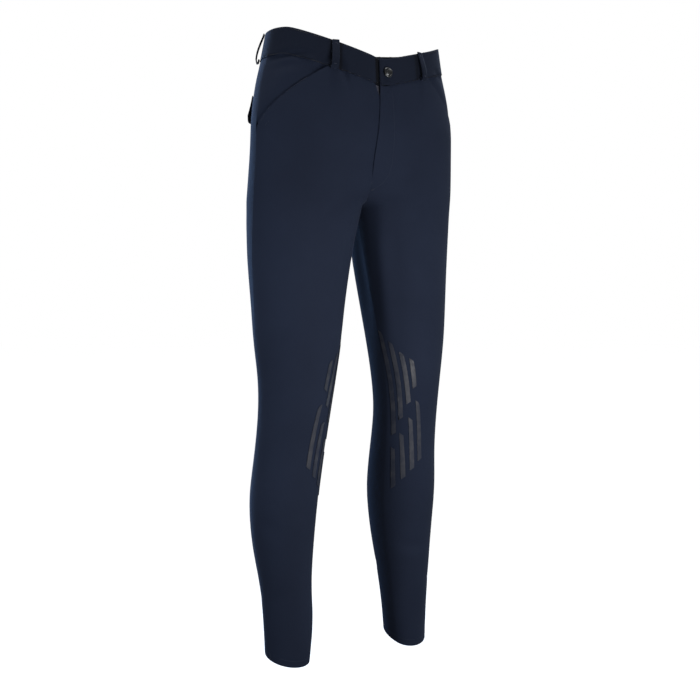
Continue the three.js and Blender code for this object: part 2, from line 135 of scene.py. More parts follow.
# %% A recipe that adds nodes to a material or to the world
class Recipe:
    """The nodes of one material, or of the world."""

    def __init__(self, owner):
        self.owner = owner
        owner.use_nodes = True
        self.tree = owner.node_tree
        self.tree.nodes.clear()

    def node(self, kind, settings=None, inputs=None, output=0):
        made = self.tree.nodes.new(kind)
        for name, value in (settings or {}).items():
            if name == "stops":
                self.set_stops(made.color_ramp, value)
            else:
                setattr(made, name, value)
        for name, value in (inputs or {}).items():
            if isinstance(value, Shade):
                self.tree.links.new(value.socket, made.inputs[name])
            else:
                made.inputs[name].default_value = value
        return Shade(self, made.outputs[output]) if len(made.outputs) else None

    def set_stops(self, ramp, stops):
        while len(ramp.elements) < len(stops):
            ramp.elements.new(0.5)
        for element, (place, value) in zip(ramp.elements, stops):
            element.position = place
            element.color = (value, value, value, 1)

    def mix(self, share, first, second):
        return self.node("ShaderNodeMix", {"data_type": "RGBA"}, {0: share, 6: first, 7: second}, output=2)

    def place(self):
        """The object's own coordinates, in metres."""
        return self.node("ShaderNodeTexCoord", output=3)

    def cloth_axes(self):
        """How far round and how far up the cloth a point lies, in metres, from the cloth's map."""
        spread = self.node("ShaderNodeUVMap", {"uv_map": "cloth_map"})
        return [self.node("ShaderNodeSeparateXYZ", None, {0: spread}, output=axis) for axis in (0, 1)]

    def laid_painted_shade(self):
        """The mesh's shade attribute: painted shade, from 0 to 1, and 0 on a mesh that has none."""
        return self.node("ShaderNodeAttribute", {"attribute_name": "shade"}, output=2)

    def noise(self, place, scale, detail=2.0):
        return self.node("ShaderNodeTexNoise", None, {"Vector": place, "Scale": scale, "Detail": detail})

    def bump(self, height, depth):
        return self.node("ShaderNodeBump", None, {"Height": height, "Distance": depth})

    def surface(self, **sockets):
        names = {name.replace("_", " "): value for name, value in sockets.items()}
        shader = self.node("ShaderNodeBsdfPrincipled", None, names)
        self.node("ShaderNodeOutputMaterial", None, {"Surface": shader})
        return self.owner


print("shader class ready")

# %% Turn a finished bmesh into a mesh
def finished_mesh(shape, name):
    """A new mesh with a bmesh's shape. The bmesh is let go."""
    mesh = bpy.data.meshes.new(name)
    shape.to_mesh(mesh)
    shape.free()
    return mesh


print("mesh helper ready")

# %% [markdown]
# ## Light, floor and backdrop
#
# The photograph is white all round, with light that wraps round the legs and leaves a thin pale
# rim on both sides. A white surround gives that evenly, where a few lamps would show their edges
# on the cloth. It is seen as pure white, but lights the cloth with less than that, so that the
# navy stays deep. Two small soft lamps stand close by, to the right and left at knee height, so
# that the light falls off towards the hips and the ankles. Two tall lamps behind light thin blue
# strips along the edges. A lamp from straight above lights little but the pale floor, and the
# floor is kept out of the cloth's light, or its glow would fill every hollow from below.

# %% A white surround and a pale floor
seen_strength = 1.0
surround_strength = 0.17
floor_height = -1.35
floor_size = 60
floor_tones = ((0.93, 0.93, 0.93, 1), (0.95, 0.95, 0.95, 1))

world = bpy.data.worlds.new("studio")
scene.world = world
studio = Recipe(world)
seen = studio.node("ShaderNodeLightPath")
strength = seen * (seen_strength - surround_strength) + surround_strength
backdrop = studio.node("ShaderNodeBackground", None, {"Color": (1, 1, 1, 1), "Strength": strength})
studio.node("ShaderNodeOutputWorld", None, {"Surface": backdrop})

floor_shape = bmesh.new()
bmesh.ops.create_grid(floor_shape, x_segments=1, y_segments=1, size=floor_size,
                      matrix=Matrix.Translation((0, 0, floor_height)))
floor_mesh = finished_mesh(floor_shape, "floor")
floor = bpy.data.objects.new("floor", floor_mesh)
floor.visible_diffuse = floor.visible_glossy = False
scene.collection.objects.link(floor)
floor_paint = Recipe(bpy.data.materials.new("floor_paint"))
floor_grain = floor_paint.noise(floor_paint.place(), 3.0)
floor_tone = floor_paint.mix(floor_grain, *floor_tones)
floor_mesh.materials.append(floor_paint.surface(Base_Color=floor_tone, Roughness=0.9))
print("floor at", floor_height, "m")

# %% Soft lamps
Lamp = namedtuple("Lamp", "name turn distance height width tall power colour")
lamps = [
    Lamp("front_lamp", -38, 0.85, -0.54, 0.5, 0.35, 7.6, (1.0, 0.98, 0.96)),
    Lamp("side_lamp", 62, 1.0, -0.45, 0.4, 0.5, 5.0, (0.86, 0.93, 1.0)),
    Lamp("left_rim_lamp", 137, 2.0, -0.10, 0.35, 1.6, 26, (0.30, 0.55, 1.0)),
    Lamp("right_rim_lamp", 244, 2.0, -0.75, 0.35, 1.0, 3, (0.74, 0.86, 1.0)),
]
floor_power = 3.0
floor_softness = math.radians(20)

floor_light = bpy.data.lights.new("floor_lamp", "SUN")
floor_light.energy = floor_power
floor_light.angle = floor_softness
floor_lamp = bpy.data.objects.new("floor_lamp", floor_light)
floor_lamp.location = (0, 0, 3)
scene.collection.objects.link(floor_lamp)
for lamp in lamps:
    light = bpy.data.lights.new(lamp.name, "AREA")
    light.shape = "RECTANGLE"
    light.size = lamp.width
    light.size_y = lamp.tall
    light.energy = lamp.power
    light.color = lamp.colour
    stand = bpy.data.objects.new(lamp.name, light)
    turn = math.radians(lamp.turn) + view_turn
    stand.location = (-math.sin(turn) * lamp.distance, -math.cos(turn) * lamp.distance, lamp.height)
    aim = Vector((0, 0, view_height)) - stand.location
    stand.rotation_euler = aim.to_track_quat("-Z", "Y").to_euler()
    scene.collection.objects.link(stand)
print("lamps:", len(lamps) + 1)

# %% [markdown]
# ## Finding places on the cloth
#
# A crease, a row of stitches or an edge is named here as a tailor would: so far round the leg and
# so high above the hem. A ray from the middle of the leg then finds the cloth itself. The
# middle of the leg moves with its height, so its place is a short table.

# %% The middle of each leg
Middle = namedtuple("Middle", "height out back radius")
leg_middles = [
    Middle(0, 120, 16, 45),
    Middle(115, 119, 21, 50),
    Middle(250, 119, 26, 60),
    Middle(385, 113, 7, 56),
    Middle(500, 109, 3, 66),
    Middle(635, 100, 6, 80),
    Middle(717, 95, 2, 88),
    Middle(790, 60, 5, 105),
    Middle(860, 0, 10, 130),
    Middle(990, 0, 10, 145),
]


def leg_middle(heights):
    """How far out, how far back and how wide the leg is, in metres, at heights above the hem in mm."""
    rows = np.array(leg_middles, float)
    return [np.interp(heights, rows[:, 0], rows[:, column]) * mm for column in (1, 2, 3)]


def outward(side, angle):
    """The level direction at an angle round the leg: 0 is forwards, 90 to the wearer's own side."""
    turn = math.radians(angle)
    return Vector((side * math.sin(turn), -math.cos(turn), 0))


def to_z(height):
    return (height - outseam) * mm


print("leg at the knee:", [round(float(value), 3) for value in leg_middle(460)])

# %% Trees that rays can hit
def tree_of(*objects):
    """One search tree of the faces of several objects, with their modifiers."""
    graph = bpy.context.evaluated_depsgraph_get()
    corners, faces = [], []
    for thing in objects:
        shape = thing.evaluated_get(graph).to_mesh()
        start = len(corners)
        corners += [vertex.co.copy() for vertex in shape.vertices]
        faces += [[start + corner for corner in face.vertices] for face in shape.polygons]
        thing.evaluated_get(graph).to_mesh_clear()
    return BVHTree.FromPolygons(corners, faces)


def solids(*names):
    return [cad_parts[name] for name in names]


panel_names = ["front_right", "front_left", "back_right", "back_left"]
band_names = ["waistband_right", "waistband_left"]
solid_tree = tree_of(*solids(*panel_names, *band_names, "pocket_facing_right", "pocket_facing_left"))
print("solids in the tree:", len(panel_names) + len(band_names) + 2)

# %% Rays from inside, from outside and from the front
skin_step = 0.3 * mm
wall_reach = 10 * mm


def from_inside(tree, side, angle, z):
    """The cloth's outer face, met by a ray from the middle of the leg, and its direction outwards."""
    out, back, _ = leg_middle(z / mm + outseam)
    direction = outward(side, angle)
    start = Vector((side * float(out), float(back), z))
    inner = tree.ray_cast(start, direction)[0]
    if inner is None:
        return None
    outer = tree.ray_cast(inner + direction * skin_step, direction, wall_reach)
    return (outer[0], outer[1]) if outer[0] is not None else (inner, direction)


def from_outside(tree, side, angle, z, reach=0.35):
    """The cloth met by a level ray that comes in from outside, and its direction outwards."""
    out, back, _ = leg_middle(z / mm + outseam)
    direction = outward(side, angle)
    start = Vector((side * float(out), float(back), z)) + direction * reach
    point, normal, _, _ = tree.ray_cast(start, -direction, reach)
    return None if point is None else (point, normal)


def along_y(tree, x, start_y, z):
    """Where a level ray from in front or behind meets a tree, and the way out of the face there."""
    way = Vector((0, -1 if start_y > 0 else 1, 0))
    point, normal, _, _ = tree.ray_cast(Vector((x, start_y, z)), way)
    return None if point is None else (point, normal)


print("knee, front:", from_inside(solid_tree, -1, 0, to_z(460))[0])

# %% [markdown]
# ## The creases
#
# Close stretch cloth shows few creases: short pulls from the waist and the crotch, faint ones
# where a leg bends behind the knee and under the seat, and small soft rolls above the hems. Each
# row of the table is one crease, with where it starts and ends, how far it bows, how wide it is
# and how deep. A minus depth is a trough. The cloth moves straight out or in at the crease, and
# every piece there moves by the same amount, so seams stay closed. Where the two sides meet above
# the crotch they would be pushed apart sideways, so there the creases fade out.

# %% The table of creases, in degrees and millimetres
Crease = namedtuple("Crease", "side angle height to_angle to_height bow width depth")
both_sides = [
    # seat and back of the thigh
    Crease(0, 150, 742, 196, 716, -10, 15, -2.6),
    Crease(0, 138, 708, 192, 684, -8, 16, -1.8),
    Crease(0, 160, 800, 190, 772, -5, 18, -1.6),
    Crease(0, 122, 690, 168, 655, -6, 14, 1.4),
    # behind the knee
    Crease(0, 140, 428, 214, 441, -9, 11, -2.4),
    Crease(0, 132, 455, 205, 463, 7, 12, -1.7),
    Crease(0, 150, 400, 222, 408, -8, 11, -1.8),
    Crease(0, 152, 482, 198, 492, 5, 12, -1.1),
    # above the hem
    Crease(0, 128, 96, 208, 84, -5, 9, -1.4),
    Crease(0, 152, 128, 232, 118, -5, 10, -1.2),
    Crease(0, 18, 110, 76, 100, -4, 10, -0.8),
]
own_side = [
    # the right front: a pull down from the belt loop, and short ones at the crotch
    Crease(-1, 46, 948, 37, 896, 4, 7, -3.6),
    Crease(-1, 50, 944, 62, 922, -3, 7, -2.6),
    Crease(-1, -38, 728, 4, 700, -6, 13, -1.5),
    Crease(-1, -52, 700, -34, 575, 6, 17, -2.2),
    Crease(-1, -14, 716, 34, 742, 5, 14, -0.9),
    Crease(-1, 82, 936, 60, 944, 4, 6, -2.4),
    Crease(-1, 80, 918, 62, 926, 4, 8, -1.2),
    Crease(-1, 40, 198, 84, 214, 4, 12, -0.9),
    Crease(-1, -30, 236, 20, 222, 5, 14, -0.8),
    # the left front
    Crease(1, -34, 716, 2, 694, -6, 13, -1.3),
    Crease(1, -58, 730, -62, 480, 0, 15, 3.2),
    Crease(1, -92, 730, -98, 490, 0, 22, -4.0),
    Crease(1, -52, 690, -40, 590, 5, 17, -1.6),
    Crease(1, -20, 758, 10, 772, 4, 12, -0.9),
    Crease(1, 8, 930, 12, 850, -3, 9, -0.9),
    Crease(1, 70, 936, 60, 945, 3, 7, -1.2),
    Crease(1, -62, 168, 22, 160, -6, 11, -1.6),
    Crease(1, -48, 140, 40, 128, 5, 13, 0.8),
    Crease(1, -20, 330, 40, 318, 4, 14, -0.7),
]
most_slip = 7
least_share, most_share = 0.7, 1.15
uneven = np.random.default_rng(7)
creases = list(own_side)
for side in (-1, 1):
    for crease in both_sides:
        slip, drop = uneven.uniform(-most_slip, most_slip, 2)
        share = uneven.uniform(least_share, most_share)
        creases.append(crease._replace(
            side=side, angle=crease.angle + slip, to_angle=crease.to_angle + slip,
            height=crease.height + drop, to_height=crease.to_height + drop,
            bow=crease.bow * share, depth=crease.depth * share))
print("creases:", len(creases))

# %% Lay each crease's path on the cloth
path_steps = 14
end_share = 0.04
end_roundness = 0.8


def crease_path(crease):
    """Points along the crease, the way out of the cloth at each, and its depth there."""
    points, ways, depths = [], [], []
    for share in np.linspace(0, 1, path_steps):
        angle = crease.angle + (crease.to_angle - crease.angle) * share
        height = crease.height + (crease.to_height - crease.height) * share
        height += crease.bow * math.sin(math.pi * share)
        found = from_inside(solid_tree, crease.side, angle, to_z(height))
        if found is None:
            continue
        points.append(found[0])
        ways.append(outward(crease.side, angle))
        swell = math.sin(math.pi * min(max(share, end_share), 1 - end_share)) ** end_roundness
        depths.append(crease.depth * mm * swell)
    return np.array(points), np.array(ways), np.array(depths)


crease_paths = [(crease, *crease_path(crease)) for crease in creases]
print("crease paths:", len(crease_paths))

# %% Move points by the creases near them
crotch_height = 717
hold_below = 27
hold_beside = 20 * mm
across_middle = 4 * mm
shoulder = 0.25


def held_shut(points):
    """How freely a point may move: not at all where the two sides meet, above the crotch."""
    up = np.clip((points[:, 2] - to_z(crotch_height - hold_below)) / (hold_below * mm), 0, 1)
    aside = np.clip(np.abs(points[:, 0]) / hold_beside, 0, 1)
    return 1 - up * (1 - aside)


def creased(points):
    """The points, moved by every crease near them. The cloth beside a crease moves back a little."""
    moved = points.copy()
    free = held_shut(points)
    for crease, places, ways, depths in crease_paths:
        width = crease.width * mm
        low, high = places.min(0) - 3 * width, places.max(0) + 3 * width
        inside = ((points > low) & (points < high)).all(1)
        near = np.flatnonzero(inside & (points[:, 0] * crease.side > -across_middle))
        if not len(near):
            continue
        own = points[near]
        best = np.full(len(near), np.inf)
        push = np.zeros((len(near), 3))
        for step in range(len(places) - 1):
            along = places[step + 1] - places[step]
            share = np.clip((own - places[step]) @ along / (along @ along), 0, 1)[:, None]
            away = np.linalg.norm(own - places[step] - share * along, axis=1)
            way = ways[step] * (1 - share) + ways[step + 1] * share
            deep = depths[step] * (1 - share) + depths[step + 1] * share
            closer = away < best
            best[closer] = away[closer]
            push[closer] = (way * deep)[closer]
        spread = (best / width) ** 2
        profile = (1 + shoulder - 2 * shoulder * spread).clip(-shoulder, None)
        fall = np.exp(-spread) * profile * free[near]
        moved[near] += push * fall[:, None]
    return moved


print("held shut from", crotch_height - hold_below, "mm above the hem")

# %% [markdown]
# ## From a solid to cloth
#
# A solid's mesh is loose triangles, so a copy of it is merged and its triangles are joined to
# quads, which a Subdivision modifier rounds evenly. The wall's own rims keep their edge, because
# they are marked as creased first. Remeshing would also round the solid, but it would eat the
# thin wall. Last, the listed creases move the points.

# %% Copy a solid as a fine quad mesh
weld = 0.02 * mm
rim_angle = math.radians(50)


def quad_copy(node, rim=1.0):
    """A merged copy of a solid's mesh in quads, with its sharp rims marked for subdivision."""
    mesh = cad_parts[node].data.copy()
    mesh.name = node + "_cloth"
    mesh.materials.clear()
    shape = bmesh.new()
    shape.from_mesh(mesh)
    bmesh.ops.remove_doubles(shape, verts=shape.verts, dist=weld)
    bmesh.ops.join_triangles(shape, faces=shape.faces, angle_face_threshold=math.pi,
                             angle_shape_threshold=math.pi)
    mark = shape.edges.layers.float.new("crease_edge")
    for edge in shape.edges:
        if edge.calc_face_angle(0) > rim_angle:
            edge[mark] = rim
            edge.smooth = rim < 1
    shape.to_mesh(mesh)
    shape.free()
    return mesh


def subdivided(mesh, levels):
    """The mesh after a Subdivision modifier, with the modifier applied."""
    thing = bpy.data.objects.new("work", mesh)
    scene.collection.objects.link(thing)
    rounding = thing.modifiers.new("rounding", "SUBSURF")
    rounding.levels = rounding.render_levels = levels
    graph = bpy.context.evaluated_depsgraph_get()
    fine = bpy.data.meshes.new_from_object(thing.evaluated_get(graph))
    bpy.data.objects.remove(thing)
    return fine


def points_of(mesh):
    points = np.zeros(len(mesh.vertices) * 3)
    mesh.vertices.foreach_get("co", points)
    return points.reshape(-1, 3)


def move_points(mesh, points):
    mesh.vertices.foreach_set("co", points.ravel())
    mesh.update()


front_quads = quad_copy("front_right")
corner_counts = [len(face.vertices) for face in front_quads.polygons]
print("front_right:", corner_counts.count(4), "quads,", corner_counts.count(3), "triangles")
bpy.data.meshes.remove(front_quads)

# %% Give cloth a map that runs round and along the leg
def lay_map(mesh, mirror):
    """A UV map in metres: across is the way round the leg, and up is the height."""
    points = points_of(mesh)
    out, back, radius = leg_middle(points[:, 2] / mm + outseam)
    side = 1 if points[:, 0].mean() > 0 else -1
    across = np.arctan2(points[:, 0] * side - out, -(points[:, 1] - back))
    if mirror:
        across = np.where(across < -math.pi / 2, across + 2 * math.pi, across)
    corners = np.zeros(len(mesh.loops), np.int64)
    mesh.loops.foreach_get("vertex_index", corners)
    flat = np.stack([across * radius, points[:, 2]], 1)[corners]
    layer = mesh.uv_layers.new(name="cloth_map")
    layer.uv.foreach_set("vector", flat.astype(np.float32).ravel())


def lay_painted_shade(mesh, amount):
    """How much painted shade darkens the mesh at each point, from 0 to 1."""
    layer = mesh.attributes.new("shade", "FLOAT", "POINT")
    layer.data.foreach_set("value", np.clip(amount, 0, 1).astype(np.float32))


def add_piece(name, mesh, material, replaced=()):
    """A finished piece: smooth, with its material, riding with the breeches."""
    mesh.name = name
    mesh.materials.clear()
    mesh.materials.append(material)
    mesh.polygons.foreach_set("use_smooth", [True] * len(mesh.polygons))
    mesh.update()
    piece = bpy.data.objects.new(name, mesh)
    scene.collection.objects.link(piece)
    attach(piece, "root")
    if replaced:
        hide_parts(*replaced)
    return piece


def cloth_tree(*names):
    """One search tree of dressed pieces of cloth, named by their solids."""
    return tree_of(*[bpy.data.objects[name + "_cloth"] for name in names])


print("map and piece helpers ready")

# %% [markdown]
# ## The breeches' cloth
#
# This is a smooth stretch cloth with a fine slanted rib, dull, with a faint nap that goes pale
# where it is seen edge-on. A picture of cloth could be used, but a few waves along the cloth's
# own map give the rib at its true size from any distance. Slow noise in the colour keeps the large
# panels from looking painted, and fine noise is the nap. A mesh can also carry an attribute named
# shade, which paints a near-black shadow into its colour where little light reaches.

# %% Navy stretch cloth
# near-black navy, the tone of the painted shadow
painted_shadow_tone = (0.0016, 0.0021, 0.0040, 1)


def make_cloth(name, dark, light, rib_depth):
    recipe = Recipe(bpy.data.materials.new(name))
    across, along = recipe.cloth_axes()
    slow = recipe.noise(recipe.place(), 9.0, 3.0)
    nap = recipe.noise(recipe.place(), 900.0, 2.0)
    rib = ((across * 5200.0 + along * 4200.0).sine() * 0.5 + 0.5).power(1.5)
    thread = (across * 3100.0 - along * 6900.0).sine() * 0.25
    tone = slow * 0.7 + nap * 0.3
    ramp = recipe.node("ShaderNodeValToRGB", {"stops": [(0.32, 0.0), (0.68, 1.0)]}, {0: tone})
    ground = recipe.mix(ramp, dark, light)
    # painted shade: the shade attribute mixes the cloth towards near-black navy
    ground = recipe.mix(recipe.laid_painted_shade(), ground, painted_shadow_tone)
    height = rib * 0.6 + thread + nap * 0.8
    return recipe.surface(
        Base_Color=ground, Roughness=0.80 + nap * 0.12, Specular_IOR_Level=0.12,
        Sheen_Weight=0.10, Sheen_Roughness=0.35, Sheen_Tint=(0.55, 0.68, 1.0, 1),
        Normal=recipe.bump(height, rib_depth))


breeches_cloth = make_cloth(
    "navy_stretch_cloth", (0.0092, 0.0138, 0.0290, 1), (0.0116, 0.0172, 0.0352, 1), 0.06 * mm)
# a darker copy of the navy cloth: painted shade for the dimmer light at the waist
painted_shade_band_cloth = make_cloth(
    "navy_band_cloth", (0.0064, 0.0097, 0.0205, 1), (0.0080, 0.0120, 0.0246, 1), 0.05 * mm)
print("cloth materials made")

# %% [markdown]
# ## Fronts, backs and facings
#
# The panels are cut flat and sewn, and where two meet the cloth sinks into a narrow groove. The
# solids stand a hair apart there, which would let light through. A groove could be cut with a
# boolean, but the gap would stay. So each point on a rim that looks across at its neighbour moves
# almost halfway to it, and sinks a little to make the groove. The points that lie close under the
# waistband move to the band in the same way, and sink too.

# %% The panels and their fine meshes
Panel = namedtuple("Panel", "name mirror neighbours width length area")
panels = [
    Panel("front_right", False, ("back_right", "front_left", "pocket_facing_right"), 0.255, 0.965, 0.165),
    Panel("front_left", False, ("back_left", "front_right", "pocket_facing_left"), 0.262, 0.965, 0.168),
    Panel("back_right", True, ("front_right", "back_left", "pocket_facing_right"), 0.300, 0.985, 0.199),
    Panel("back_left", True, ("front_left", "back_right", "pocket_facing_left"), 0.300, 0.985, 0.200),
    Panel("pocket_facing_right", False, ("back_right",), 0.112, 0.102, 0.0068),
    Panel("pocket_facing_left", False, ("back_left",), 0.112, 0.102, 0.0068),
]
panel_levels = 2
fine = {panel.name: subdivided(quad_copy(panel.name), panel_levels) for panel in panels}
before_seams = {name: points_of(mesh) for name, mesh in fine.items()}
print("panel points:", {name: len(mesh.vertices) for name, mesh in fine.items()})

# %% Draw seams together and sink them
seam_reach = 0.75 * mm
seam_share = 0.49
groove_depth = 0.3 * mm
neighbour_margin = 2 * mm
waist_low = to_z(890)
waist_groove = 0.9 * mm
band_reach = 0.6 * mm
bands_tree = tree_of(*solids(*band_names))


def nearest_points(points, others):
    """For each point, the nearest of the others and how far off it is."""
    finder = KDTree(len(others))
    for index, other in enumerate(others):
        finder.insert(other, index)
    finder.balance()
    found = [finder.find(point) for point in points]
    return np.array([hit[0] for hit in found]), np.array([hit[2] for hit in found])


def join_seams(name, neighbours):
    """A panel's points, with its rims drawn to its neighbours and to the waistband."""
    points = before_seams[name].copy()
    low, high = points.min(0) - neighbour_margin, points.max(0) + neighbour_margin
    for neighbour in neighbours:
        others = before_seams[neighbour]
        others = others[((others > low) & (others < high)).all(1)]
        if not len(others):
            continue
        places, gaps = nearest_points(points, others)
        close = gaps < seam_reach
        out, back, _ = leg_middle(points[:, 2] / mm + outseam)
        middle = np.stack([np.sign(points[:, 0]) * out, back, points[:, 2]], 1)
        inwards = middle - points
        inwards /= np.linalg.norm(inwards, axis=1)[:, None]
        points[close] += (places - points)[close] * seam_share + inwards[close] * groove_depth
    side = 1 if points[:, 0].mean() > 0 else -1
    turns = np.arctan2(points[:, 0] * side, -points[:, 1])
    for index in np.flatnonzero(points[:, 2] > waist_low):
        on_band = bands_tree.find_nearest(Vector(points[index]), band_reach)[0]
        if on_band is not None:
            points[index] = on_band + outward(side, math.degrees(turns[index])) * -waist_groove
    return points


print("seams closer than", round(seam_reach / mm, 2), "mm are drawn together")

# %% [markdown]
# ## Seating the facings
#
# A slanted pocket is a cut-away corner of the front, and the cloth that shows in it is a separate
# facing behind. Its solid lies one cloth deeper all over. On the real breeches it rises to meet
# the back at the side seam, so that only the slanted edge of the front casts a shadow. The solid
# could be bent with a lattice, but the rise is a simple smooth step along the pocket's mouth.

# %% Raise a facing to its seams
facing_sink, facing_level, facing_ramp = 3.0, 3, 22
pocket_foot, pocket_reach, waist_seam = 835, 101, 947
margin_reach = 2.2 * mm
narrowest_mouth = 0.1
looks_inwards = -0.5


def seat_facing(points, word, side):
    """Raise the facing's foot to the side seam, and its hidden margin to the front's back."""
    front, back = (tree_of(*solids(half + word)) for half in ("front_", "back_"))
    for index, point in enumerate(points):
        place = Vector(point)
        height = place.z / mm + outseam
        out, behind, _ = leg_middle(height)
        way = Vector((place.x - side * float(out), place.y - float(behind), 0)).normalized()
        edge = pocket_reach * max(height - pocket_foot, 0) / (waist_seam - pocket_foot)
        reach = back.find_nearest(place + way * facing_sink * mm)[3] / mm
        rise = min(max((edge - reach - facing_level) / facing_ramp, 0), 1)
        sunk = facing_sink * (1 - rise * rise * (3 - 2 * rise))
        wanted = max(1 - reach / max(edge, narrowest_mouth), 0) ** 2
        points[index] = place + way * sunk * wanted * mm
        hit, normal, _, _ = front.find_nearest(place, margin_reach)
        if hit is not None and normal.dot(way) < looks_inwards:
            points[index] = hit
    return points


print("pocket mouth:", pocket_reach, "mm forwards of the side seam at the waist")

# %% Dress the panels
for panel in panels:
    half = "left" if "left" in panel.name else "right"
    mesh = fine[panel.name]
    points = join_seams(panel.name, panel.neighbours)
    if "facing" in panel.name:
        points = seat_facing(points, half, 1 if half == "left" else -1)
    move_points(mesh, creased(points))
    lay_map(mesh, panel.mirror)
    piece = add_piece(panel.name + "_cloth", mesh, breeches_cloth, (panel.name,))
print("panels dressed:", len(panels))

# %% [markdown]
# ## Waistband, flaps, loops and the cloth behind the fly
#
# The waistband is a double band of the same cloth, pressed flat, and its material is a darker copy
# of that cloth, painted shade for the dimmer light at the waist. The loops are narrow folded strips
# that stand a little proud of it. In the photograph a soft dark line runs beside each loop, and the
# step at the closure is nearly black. Lamps could be moved until they cast those shadows, but then
# the legs would change too, so the shade attribute holds them as painted shadows.

# %% The small pieces
Small = namedtuple("Small", "name levels rim width length held on material")
smalls = []
for half, band_length in (("right", 0.445), ("left", 0.425)):
    smalls.append(Small("waistband_" + half, 2, 0.85, band_length, 0.047, "hung", f"front_{half}_cloth",
                        painted_shade_band_cloth))
for half in ("right", "left"):
    smalls.append(Small("back_pocket_flap_" + half, 2, 0.8, 0.138, 0.040, "hung", f"back_{half}_cloth",
                        breeches_cloth))
loop_bands = {"front_right": "right", "front_left": "left", "side_right": "right", "side_left": "left",
              "centre_back": "left"}
loops = [Small("belt_loop_" + place, 2, 0.8, 0.011, 0.068, "folded", f"waistband_{half}_cloth", painted_shade_band_cloth)
         for place, half in loop_bands.items()]
smalls += loops
smalls.append(Small("fly_underlap", 1, 1.0, 0.036, 0.132, "hung", "front_right_cloth", breeches_cloth))
print("small pieces:", len(smalls), "with", len(loops), "loops")

# %% Painted shadows on the waistband
loop_puff = 0.35 * mm
loop_shadow_at, loop_shadow_wide, loop_near = 5.6 * mm, 3.0 * mm, 14 * mm
loop_shadow_depth = 0.8
closure_shadow = (-17 * mm, -14 * mm, -7 * mm)
waist_back = 10 * mm


def loop_place(name):
    """A loop's box and its middle, and the level way out of the waistband there."""
    low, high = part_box(name)
    middle = (low + high) / 2
    return low, high, middle, Vector((middle.x, middle.y - waist_back, 0)).normalized()


def painted_band_shadows(points):
    """Painted shadow beside each belt loop, and painted shade in the gap at the closure."""
    amount = np.zeros(len(points))
    for loop in loops:
        _, _, middle, way = loop_place(loop.name)
        along = np.array((-way.y, way.x, 0))
        apart = points - np.array(middle)
        beside = np.abs(apart @ along)
        close = np.abs(apart @ np.array(way)) < loop_near
        # painted shadow in a soft line beside each loop
        fall = np.exp(-((beside - loop_shadow_at) / loop_shadow_wide) ** 2)
        amount = np.maximum(amount, np.where(close, loop_shadow_depth * fall, 0))
    far, near, under = closure_shadow
    # painted shade in the gap at the closure
    gap = np.clip((points[:, 0] - far) / (near - far), 0, 1) * (points[:, 0] < under) * (points[:, 1] < 0)
    return np.maximum(amount, gap)


def puffed(mesh, by):
    """The mesh's points, moved out along their own normals."""
    normals = np.zeros(len(mesh.vertices) * 3)
    mesh.vertices.foreach_get("normal", normals)
    return points_of(mesh) + normals.reshape(-1, 3) * by


print("closure shade from", round(closure_shadow[0] / mm), "to", round(closure_shadow[2] / mm), "mm")

# %% Dress the small pieces
for small in smalls:
    mesh = subdivided(quad_copy(small.name, small.rim), small.levels)
    if "waistband" in small.name:
        on_own_half = (points_of(mesh)[:, 0] > 0) | ("right" in small.name)
        # painted shadows, laid on the waistband as its shade attribute
        lay_painted_shade(mesh, painted_band_shadows(points_of(mesh)) * on_own_half)
    if small in loops:
        move_points(mesh, puffed(mesh, loop_puff))
    move_points(mesh, creased(points_of(mesh)))
    lay_map(mesh, "waistband" in small.name or "back" in small.name or "side" in small.name)
    piece = add_piece(small.name + "_cloth", mesh, small.material, (small.name,))
print("small pieces dressed:", len(smalls))

# %% [markdown]
# ## Zip
#
# A moulded zip: two woven tapes with a chain of small teeth between them, a slider and its tab.
# Only the top of one tape shows, where the fly falls open. The tapes take the solids' shape with
# a woven rib, and the teeth are one small bevelled block, set down again and again.

# %% Tapes
def make_tape():
    recipe = Recipe(bpy.data.materials.new("zip_tape_weave"))
    across, along = recipe.cloth_axes()
    rib = (along * 6000.0).sine() * (across * 4200.0).sine()
    ground = recipe.mix(rib * 0.5 + 0.5, (0.030, 0.032, 0.050, 1), (0.044, 0.047, 0.069, 1))
    return recipe.surface(Base_Color=ground, Roughness=0.8, Normal=recipe.bump(rib, 0.1 * mm))


tape_weave = make_tape()
tape_widths = {"zip_tape_right": 0.024, "zip_tape_left": 0.013}
for name, width in tape_widths.items():
    mesh = subdivided(quad_copy(name), 1)
    move_points(mesh, creased(points_of(mesh)))
    lay_map(mesh, False)
    piece = add_piece(name + "_weave", mesh, tape_weave, (name,))
print("tapes made:", len(tape_widths))

# %% [markdown]
# ## Dark antique metal
#
# The slider, the teeth and the button are dark, slightly worn metal. A plain black paint would
# show no reflections, and polished metal too many, so this is a true metal with a dark tone and a
# cloudy roughness. The shade attribute paints a near-black shadow on it, on the button's flank.

# %% Metal
def make_metal():
    recipe = Recipe(bpy.data.materials.new("antique_dark_metal"))
    cloudy = recipe.noise(recipe.place(), 420.0, 3.0)
    fine_grain = recipe.noise(recipe.place(), 2600.0, 2.0)
    tone = recipe.mix(cloudy, (0.060, 0.063, 0.067, 1), (0.13, 0.135, 0.14, 1))
    # painted shadow: the shade attribute turns the metal near black
    tone = recipe.mix(recipe.laid_painted_shade(), tone, (0.006, 0.006, 0.008, 1))
    return recipe.surface(Base_Color=tone, Metallic=1.0, Roughness=0.30 + cloudy * 0.14,
                          Normal=recipe.bump(fine_grain, 0.03 * mm))


dark_metal = make_metal()
print("metal made")

